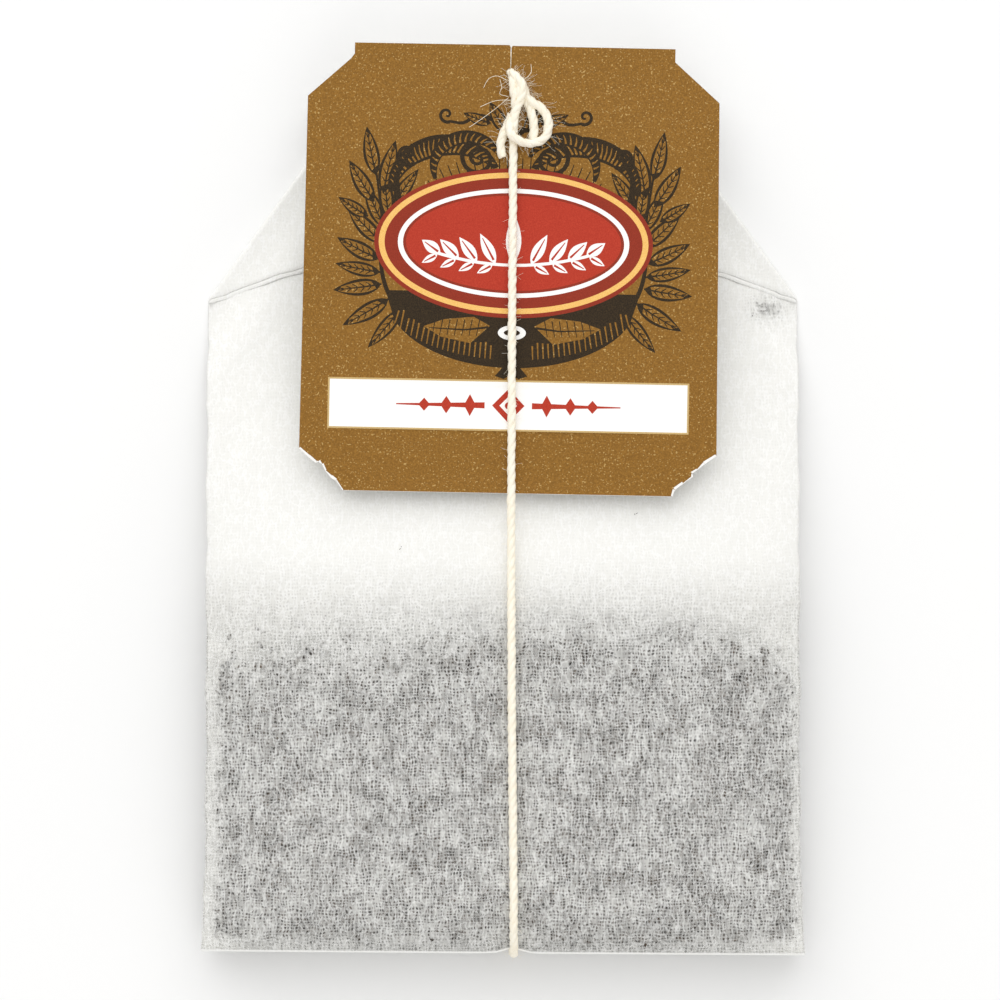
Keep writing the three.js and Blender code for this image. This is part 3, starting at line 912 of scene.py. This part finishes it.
def tea_portion(name, node, wall, far_wall, side, seed):
    """Packed leaf under a wall, and loose grains between it and the wall. side is 1 for the front wall."""
    points, faces, packed, amounts, sizes = [], [], [], [], []

    def add(grid, amount, fineness, is_packed):
        first = len(points)
        points.extend(grid[0])
        faces.extend(tuple(first + i for i in face) for face in grid[1])
        packed.extend([is_packed] * len(grid[1]))
        amounts.extend(amount(x, y) for x, y, z in grid[0])
        sizes.extend(fineness * float(smooth(-0.2, 0.6, swelling(x, y))) for x, y, z in grid[0])

    shares = np.sin(np.linspace(-1, 1, 49) * math.pi / 2)
    rows = np.linspace(0, 1, 41)
    xs, ys = [], []
    for share in rows:
        x = TEA_X + shares * (HALF_WIDTH - TEA_SIDE - BED_INSIDE)
        low = bottom_edge(x) + TEA_BOTTOM + BED_INSIDE
        top = tea_level(x) - 2 + [0.9 * tea_wander(v, 0) for v in x]
        y = low + share * (top - low)
        xs.append(TEA_X + shares * (half_width(y) - TEA_SIDE - BED_INSIDE))
        ys.append(y)

    def closeness(share_x, share_y):
        return (1 - abs(share_x) ** 8) * (1 - abs(2 * share_y - 1) ** 6)

    near, far = {}, {}
    for x_row, y_row, share_y in zip(xs, ys, rows):
        for x, y, share_x in zip(x_row, y_row, shares):
            top = wall(x, y) - side * (PAPER + TEA_UNDER_WALL)
            bottom = far_wall(x, y) + side * (PAPER + TEA_OFF_FAR_WALL)
            level = (top + bottom) / 2
            share = closeness(share_x, share_y) ** 0.5
            near[(x, y)] = level + (top - level) * share
            far[(x, y)] = level + (bottom - level) * share
    for heights, facing in ((near, side), (far, -side)):
        spots, quads = height_grid(xs, ys, lambda x, y: heights[(x, y)])
        add((spots, quads if facing > 0 else [quad[::-1] for quad in quads]), lambda x, y: 0, 1, 1)

    def loose(x, y):
        above = y - tea_level(x) + tea_wander(x, y)
        stray = 0.16 * smooth(3.6, 0.6, above) * smooth(3, -2, x) + 0.1 * smooth(1.4, 0.2, above)
        return float(max(smooth(0.5, -0.9, above), stray))

    x = shares * HALF_WIDTH
    low = bottom_edge(x) + TEA_BOTTOM
    ys = [low + share * (tea_level(x) + STRAY_REACH - low) for share in np.linspace(0, 1, 61)]
    xs = [TEA_X + shares * (half_width(y) - TEA_SIDE) for y in ys]
    add(height_grid(xs, ys, lambda x, y: wall(x, y) - side * (PAPER + LOOSE_UNDER_WALL)), loose, 1, 0)
    for x, y, wide, long in CRUMBS if side > 0 else ():
        xs = [np.linspace(x - wide / 2, x + wide / 2, 3)] * 3
        ys = [np.full(3, v) for v in np.linspace(y - long / 2, y + long / 2, 3)]
        grid = height_grid(xs, ys, lambda x, y: wall(x, y) - PAPER - CRUMB_UNDER_WALL)
        add(grid, lambda x, y: CRUMB_AMOUNT, CRUMB_SIZE, 0)

    mesh = bpy.data.meshes.new(name + "_bed")
    mesh.from_pydata([tuple(v * MM for v in p) for p in points], [], faces)
    for label, domain, values in (
        ("packed", "FACE", packed), ("amount", "POINT", amounts), ("fineness", "POINT", sizes),
    ):
        mesh.attributes.new(label, "FLOAT", domain).data.foreach_set("value", np.array(values, np.float32))
    piece = grown(name, mesh, tea_tree, {"Material": tea_leaf, "Seed": seed})
    edited(piece.data, lambda work: bmesh.ops.remove_doubles(work, verts=work.verts, dist=1e-7))
    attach(piece, "root")
    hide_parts(node)


tea_tree = grain_tree()
tea_portion("front_tea", "tea_front", front_high, front_low, 1, 5)
tea_portion("back_tea", "tea_back", back_low, back_high, -1, 9)

# ------------------------------------------------
# The tag: eight-sided white card, printed gold on its face with a wreath, a red medallion and a
# white panel. It is slit from the top edge for the thread. Its two lower corners were torn from the
# next tag of the strip.
# ------------------------------------------------
SLIT_HALF = 0.025
SLIT_EYE = 0.3  # radius of the end that the thread has pulled open
TORN_LEFT = [
    (-14.1, -12.46), (-13.45, -13.05), (-12.97, -13.42), (-12.76, -13.35), (-12.54, -13.51), (-12.3, -13.95),
    (-11.9, -14.42), (-11.56, -14.61), (-11.1, -15.25),
]
TORN_RIGHT = [
    (11.22, -15.25), (11.38, -14.8), (11.94, -14.36), (12.6, -13.87), (12.52, -13.67), (12.87, -13.42),
    (13.37, -13.01), (14.15, -12.46),
]
slit_eye = [
    (SLIT_X + SLIT_EYE * math.cos(a), SLIT_END + SLIT_EYE * math.sin(a))
    for a in np.linspace(math.pi * 0.47, -math.pi * 1.47, 15)
]
TAG_OUTLINE = [
    (-14.0, 11.55), *TORN_LEFT, *TORN_RIGHT, (13.95, 11.57), (10.9, 14.32), (10.9, 15.22),
    (SLIT_X + 0.1, 15.25), (SLIT_X + SLIT_HALF, 15.1), *slit_eye, (SLIT_X - SLIT_HALF, 15.1),
    (SLIT_X - 0.1, 15.28), (-10.88, 15.25), (-10.88, 14.5), (-11.12, 14.16),
]


def ink(name, color, second, roughness, metallic=0.0, speckle=14.0, glint=None):
    """A printed colour with a fine grain in it, and glinting flakes in a metallic one."""
    material, shader, place = new_finish(name, roughness, 0.15)
    fine = place.grain(speckle, 2.0)
    mixed = color_mix(fine.step(0.35, 0.7), (*color, 1), (*second, 1))
    if glint:
        flakes = place.grain(7.5, 1.0).step(0.63, 0.72)
        mixed = color_mix(flakes * 0.75, mixed, (*glint, 1))
        (fine.step(0.4, 0.7) * metallic).to(shader.inputs["Metallic"])
    mixed.to(shader.inputs["Base Color"])
    relief(shader, fine + place.grain(1.1), 0.012, 0.4)
    return material


INKS = {
    "gold": ink("gold_ink", (0.215, 0.1, 0.015), (0.31, 0.152, 0.028), 0.5, 0.3, 9.0, (0.6, 0.4, 0.15)),
    "brown": ink("brown_ink", (0.022, 0.014, 0.007), (0.05, 0.031, 0.013), 0.6),
    "red": ink("red_ink", (0.42, 0.034, 0.016), (0.50, 0.05, 0.024), 0.5),
    "deep_red": ink("deep_red_ink", (0.25, 0.028, 0.012), (0.31, 0.036, 0.016), 0.5),
    "amber": ink("amber_ink", (0.82, 0.47, 0.12), (0.9, 0.56, 0.19), 0.5),
    "cream": ink("cream_ink", (0.93, 0.92, 0.9), (0.96, 0.95, 0.93), 0.5),
    "pale_gold": ink("pale_gold_ink", (0.55, 0.38, 0.16), (0.62, 0.45, 0.2), 0.45),
    "card": ink("white_card", (0.86, 0.85, 0.82), (0.92, 0.91, 0.89), 0.8, 0.0, 4.0),
}
prints = []


def oval(color, x, y, a, b, count):
    angles = np.linspace(0, math.tau, count, endpoint=False)
    prints.append((color, [(x + a * math.cos(t), y + b * math.sin(t)) for t in angles]))


def box(color, left, low, right, high):
    prints.append((color, [(left, low), (right, low), (right, high), (left, high)]))


def stroke(color, line, width, end_width=None):
    """A line with a tapering width, drawn through its points."""
    end_width = width if end_width is None else end_width
    line = [Vector((*p, 0)) for p in line]
    left, right = [], []
    for i, point in enumerate(line):
        along = (line[min(i + 1, len(line) - 1)] - line[max(i - 1, 0)]).normalized()
        side = Vector((-along.y, along.x, 0))
        half = (width + (end_width - width) * i / (len(line) - 1)) / 2
        left.append((point + side * half)[:2])
        right.append((point - side * half)[:2])
    prints.append((color, left + right[::-1]))


def leaf(x, y, length, width, angle, curl=0.0):
    """A brown leaf with a gold blade, a vein and short strokes across it."""
    def at(t, side):
        bow = curl * length * t * t
        across = side * width / 2 * math.sin(math.pi * t**0.8) ** 0.9
        along = length * t
        c, s = math.cos(angle), math.sin(angle)
        return x + along * c - (across + bow) * s, y + along * s + (across + bow) * c

    shares = np.linspace(0, 1, 11)
    rim = [at(t, 1) for t in shares] + [at(t, -1) for t in shares[-2:0:-1]]
    prints.append(("brown", rim))
    inner = [0.12 + 0.78 * t for t in shares]
    prints.append(("gold", [at(t, 0.66) for t in inner] + [at(t, -0.66) for t in inner[-2:0:-1]]))
    stroke("brown", [at(t, 0) for t in (0, 0.35, 0.7, 0.92)], 0.13, 0.05)
    for t in (0.22, 0.36, 0.5, 0.64, 0.78):
        for side in (-1, 1):
            stroke("brown", [at(t, 0.1 * side), at(t + 0.09, 0.55 * side)], 0.09, 0.05)


def scroll(x, y, radius, turns, start, spin, width):
    """A spiral that opens from its eye."""
    line = []
    for t in np.linspace(0.12, 1, int(turns * 16)):
        angle = start + spin * math.tau * turns * (t - 1)
        line.append((x + radius * t * math.cos(angle), y + radius * t * math.sin(angle)))
    stroke("brown", line, width * 0.6, width)


def curved(points):
    """A smooth line through flat points."""
    return [tuple(p[:2]) for p in smooth_line([(x, y, 0) for x, y in points], 0.35)]


def volute(x, y, radii, thick, angles, hatches):
    """A leafy crescent: a dark band round an ellipse, widest in its middle, cut by fine lines."""
    def at(share, depth):
        angle = angles[0] + (angles[1] - angles[0]) * share
        fat = thick * math.sin(math.pi * (0.06 + 0.88 * share)) ** 0.8
        return x + (radii[0] - fat * depth) * math.cos(angle), y + (radii[1] - fat * depth) * math.sin(angle)

    shares = np.linspace(0, 1, 31)
    prints.append(("brown", [at(t, 0) for t in shares] + [at(t, 1) for t in shares[::-1]]))
    for t in np.linspace(0.06, 0.94, hatches):
        stroke("gold", [at(t, 0.86), at(t + 0.012, 0.5), at(t + 0.03, 0.2)], 0.15, 0.05)


WREATH_X = 0.15


def beside(points, side=1):
    """Flat points from the wreath's middle line, to its right or mirrored to its left."""
    return [(WREATH_X + side * x, y) for x, y in points]


for side in (-1, 1):
    def across(x):
        return WREATH_X + side * x

    def turned(angle):
        return angle if side > 0 else math.pi - angle

    for x, y, length, width, angle in (
        (7.6, -2.9, 3.4, 1.0, -0.95), (8.4, -2.2, 3.6, 1.15, -0.6), (8.9, -1.2, 3.3, 1.15, -0.2),
        (9.0, -0.4, 3.1, 1.0, 0.12), (9.1, 0.5, 3.2, 1.15, 0.4), (8.9, 1.6, 3.4, 1.15, 0.72),
        (8.7, 2.6, 3.3, 1.05, 1.05), (8.5, 3.4, 3.0, 1.0, 1.4), (9.5, 4.4, 3.3, 1.15, 0.95),
        (8.9, 5.0, 3.7, 1.2, 1.72), (9.4, 6.2, 3.4, 1.1, 1.3), (8.2, 4.2, 3.0, 0.95, 2.1),
        (9.9, 3.4, 2.4, 0.9, 0.5),
    ):
        leaf(across(x), y, length, width, turned(angle), 0.06 * side)
    stem = [(7.4, -3.4), (8.6, -1.4), (9.0, 0.6), (8.9, 2.6), (9.1, 4.4), (9.4, 6.4)]
    stroke("brown", curved(beside(stem, side)), 0.34, 0.14)
    volute(across(4.7), 5.6, (3.9, 3.5), 1.5, (turned(-0.15), turned(2.75)), 26)
    volute(across(3.3), 7.1, (2.5, 2.3), 0.95, (turned(-0.5), turned(2.9)), 16)
    scroll(across(2.5), 7.5, 1.2, 2.1, turned(math.pi / 2 - 0.4), side, 0.32)
    scroll(across(7.3), 7.7, 0.8, 1.4, turned(-2.2), -side, 0.3)
    arch = [(7.9, 4.6), (8.0, 6.2), (7.3, 7.6), (7.0, 8.4)]
    stroke("brown", curved(beside(arch, side)), 0.5, 0.2)
    crest = [(0.2, 9.2), (1.2, 10.0), (2.6, 10.4), (3.6, 9.9), (4.5, 10.0)]
    stroke("brown", curved(beside(crest, side)), 0.4, 0.18)
    scroll(across(4.7), 10.45, 0.55, 1.3, turned(-2.0), -side, 0.24)
    leaf(across(0.6), 9.3, 2.4, 1.0, turned(0.95), 0.1 * side)
    leaf(across(1.7), 9.9, 2.0, 0.8, turned(0.25), 0.1 * side)
    for i in range(17):
        angle = 0.3 + i * 0.075
        reach = 9.6 - 1.0 * abs(i - 8) / 8
        foot = (across(7.0 * math.cos(angle)), 1.0 + 5.4 * math.sin(angle))
        head = (across(0.86 * reach * math.cos(angle)), 1.2 + 0.74 * reach * math.sin(angle))
        stroke("brown", [foot, head], 0.12, 0.06)

BOWL_HALF = 8.5
bowl_x = np.linspace(-BOWL_HALF, BOWL_HALF, 33)
bowl_low = [(x, -2.0 - 4.75 * math.sqrt(max(0, 1 - (x / BOWL_HALF) ** 2))) for x in bowl_x]
prints.append(("brown", beside([*bowl_low, (BOWL_HALF, -1.6), (-BOWL_HALF, -1.6)])))
for i in range(-22, 23):
    x = i * 0.36
    deep = -2.3 - 3.9 * math.sqrt(max(0, 1 - (x / 8.6) ** 2))
    if abs(x) > 1.4:
        high = deep + 0.8 + 0.5 * math.sin(i * 1.7) ** 2
        stroke("gold", beside([(x, deep), (x * 0.97, high)]), 0.07, 0.12)
for side in (-1, 1):
    window = ((1.5, -3.9), (2.6, -3.3), (4.6, -3.5), (6.0, -4.0), (4.8, -4.7), (2.8, -5.1))
    prints.append(("gold", beside(window, side)))
    stroke("brown", beside(((1.6, -4.0), (3.2, -4.2), (5.6, -4.1)), side), 0.16, 0.06)
    for i in range(7):
        x = 2.2 + 0.5 * i
        stroke("brown", beside(((x, -3.5), (x + 0.2, -4.6)), side), 0.07, 0.05)
foot = ((-0.5, -6.6), (-1.1, -7.3), (-0.5, -7.5), (0, -7.15), (0.5, -7.5), (1.1, -7.3), (0.5, -6.6))
prints.append(("brown", beside(foot)))
oval("cream", WREATH_X, -4.35, 0.95, 0.5, 32)
oval("brown", WREATH_X, -4.35, 0.55, 0.22, 24)

MEDAL_Y = 1.75
for color, a, b in (
    ("deep_red", 9.45, 5.1), ("amber", 9.15, 4.82), ("deep_red", 8.75, 4.45), ("cream", 7.85, 3.72),
    ("deep_red", 7.5, 3.42), ("red", 7.3, 3.24),
):
    oval(color, WREATH_X, MEDAL_Y, a, b, 96)


def pale_leaf(x, y, length, width, angle):
    shares = np.linspace(0, 1, 11)
    c, s = math.cos(angle), math.sin(angle)
    rim = [(length * t, width / 2 * math.sin(math.pi * t**0.85)) for t in shares]
    rim += [(a, -b) for a, b in rim[-2:0:-1]]
    prints.append(("cream", [(x + a * c - b * s, y + a * s + b * c) for a, b in rim]))
    stroke("red", [(x + t * length * c, y + t * length * s) for t in (0.12, 0.5, 0.85)], 0.16, 0.06)


stroke("cream", [(WREATH_X + x, MEDAL_Y - 1.5 + 0.028 * x * x) for x in np.linspace(-5.6, 5.6, 15)], 0.2)
for side in (-1, 1):
    for i in range(4):
        x = 1.2 + 1.25 * i
        y = MEDAL_Y - 1.45 + 0.028 * x * x
        up = math.radians(62 - 9 * i)
        pale_leaf(WREATH_X + side * x, y, 2.3 - 0.25 * i, 0.8, up if side > 0 else math.pi - up)
        pale_leaf(WREATH_X + side * (x + 0.2), y - 0.1, 1.2, 0.5, -0.5 if side > 0 else math.pi + 0.5)
pale_leaf(WREATH_X, MEDAL_Y - 1.4, 3.5, 1.05, math.pi / 2)

PANEL = (-12.11, -10.92, 12.11, -7.7)
box("pale_gold", PANEL[0] - 0.12, PANEL[1] - 0.12, PANEL[2] + 0.12, PANEL[3] + 0.12)
box("cream", *PANEL)
panel_y = (PANEL[1] + PANEL[3]) / 2


def diamond(color, x, half_wide, half_high, side=1):
    ends = ((x, -half_high), (x + half_wide, 0), (x, half_high), (x - half_wide, 0))
    prints.append((color, [(side * across, panel_y + up) for across, up in ends]))


for side in (-1, 1):
    stroke("red", [(side * 1.6, panel_y), (side * 4.5, panel_y), (side * 7.6, panel_y)], 0.42, 0.08)
    for x, size in ((2.6, 0.75), (4.2, 0.6), (5.7, 0.45)):
        diamond("red", x, 0.4, size, side)
diamond("red", 0, 1.1, 1.15)
diamond("cream", 0, 0.6, 0.62)
oval("red", 0, panel_y, 0.24, 0.24, 16)

for torn in (TORN_LEFT, TORN_RIGHT):
    for i, (a, b) in enumerate(zip(torn, torn[1:])):
        stroke("card", [a, b], 0.22 + 0.16 * math.sin(i * 2.3), 0.2 + 0.12 * math.sin(i * 1.3 + 1))

CARD_GRID = 1.4  # inner points of the mesh, so that the card can bend
flat_points, flat_edges = [], []
for outline in [TAG_OUTLINE] + [shape for color, shape in prints]:
    first = len(flat_points)
    flat_points.extend(Vector(p) for p in outline)
    flat_edges.extend((first + i, first + (i + 1) % len(outline)) for i in range(len(outline)))
for i in range(-9, 10):
    for j in range(-10, 11):
        flat_points.append(Vector((i * CARD_GRID + 0.013 * j, j * CARD_GRID + 0.017 * i)))
cut = delaunay_2d_cdt(flat_points, flat_edges, [], 0, 1e-5)
cut_points, cut_faces = np.array([tuple(p) for p in cut[0]]), np.array([tuple(f) for f in cut[2]])
centres = cut_points[cut_faces].mean(axis=1)
colors = list(INKS)


def inside(outline, spots):
    """Which spots lie inside an outline: an upward ray crosses it an odd number of times."""
    crossings = np.zeros(len(spots), int)
    for (x1, y1), (x2, y2) in zip(outline, [*outline[1:], outline[0]]):
        if x1 != x2:
            between = (spots[:, 0] >= min(x1, x2)) & (spots[:, 0] < max(x1, x2))
            crossings += between & (spots[:, 1] < y1 + (y2 - y1) * (spots[:, 0] - x1) / (x2 - x1))
    return crossings % 2 == 1


def card_bend(x, y):
    """The card is not quite flat: it curls a little, and it hangs lower to the right of the slit."""
    dropped = 0.16 * smooth(SLIT_X - 0.02, SLIT_X + 0.02, x) * smooth(7, 15, y)
    return 0.1 * (x / 14) ** 2 - dropped


face_color = np.full(len(centres), colors.index("gold"))
for color, shape in prints:
    face_color[inside(shape, centres)] = colors.index(color)
on_card = inside(TAG_OUTLINE, centres)
count = len(cut_points)
tag_spots = tag_points([(x, y, CARD + card_bend(x, y)) for x, y in cut_points])
tag_spots += tag_points([(x, y, card_bend(x, y)) for x, y in cut_points])
tag_faces, tag_inks, rim = [], [], set()
for face, color in zip(cut_faces[on_card].tolist(), face_color[on_card].tolist()):
    tag_faces += [face, [count + i for i in face[::-1]]]
    tag_inks += [color, colors.index("card")]
    for a, b in zip(face, face[1:] + face[:1]):
        if (b, a) in rim:
            rim.remove((b, a))
        else:
            rim.add((a, b))
for a, b in sorted(rim):
    tag_faces.append([a, count + a, count + b, b])
    tag_inks.append(colors.index("card"))
tag = mesh_piece("printed_tag", tag_spots, tag_faces, [INKS[color] for color in colors])
tag.data.polygons.foreach_set("material_index", tag_inks)
edited(tag.data, lambda work: bmesh.ops.delete(
    work, geom=[spot for spot in work.verts if not spot.link_faces], context="VERTS"
))
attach(tag, "root")
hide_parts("tag")
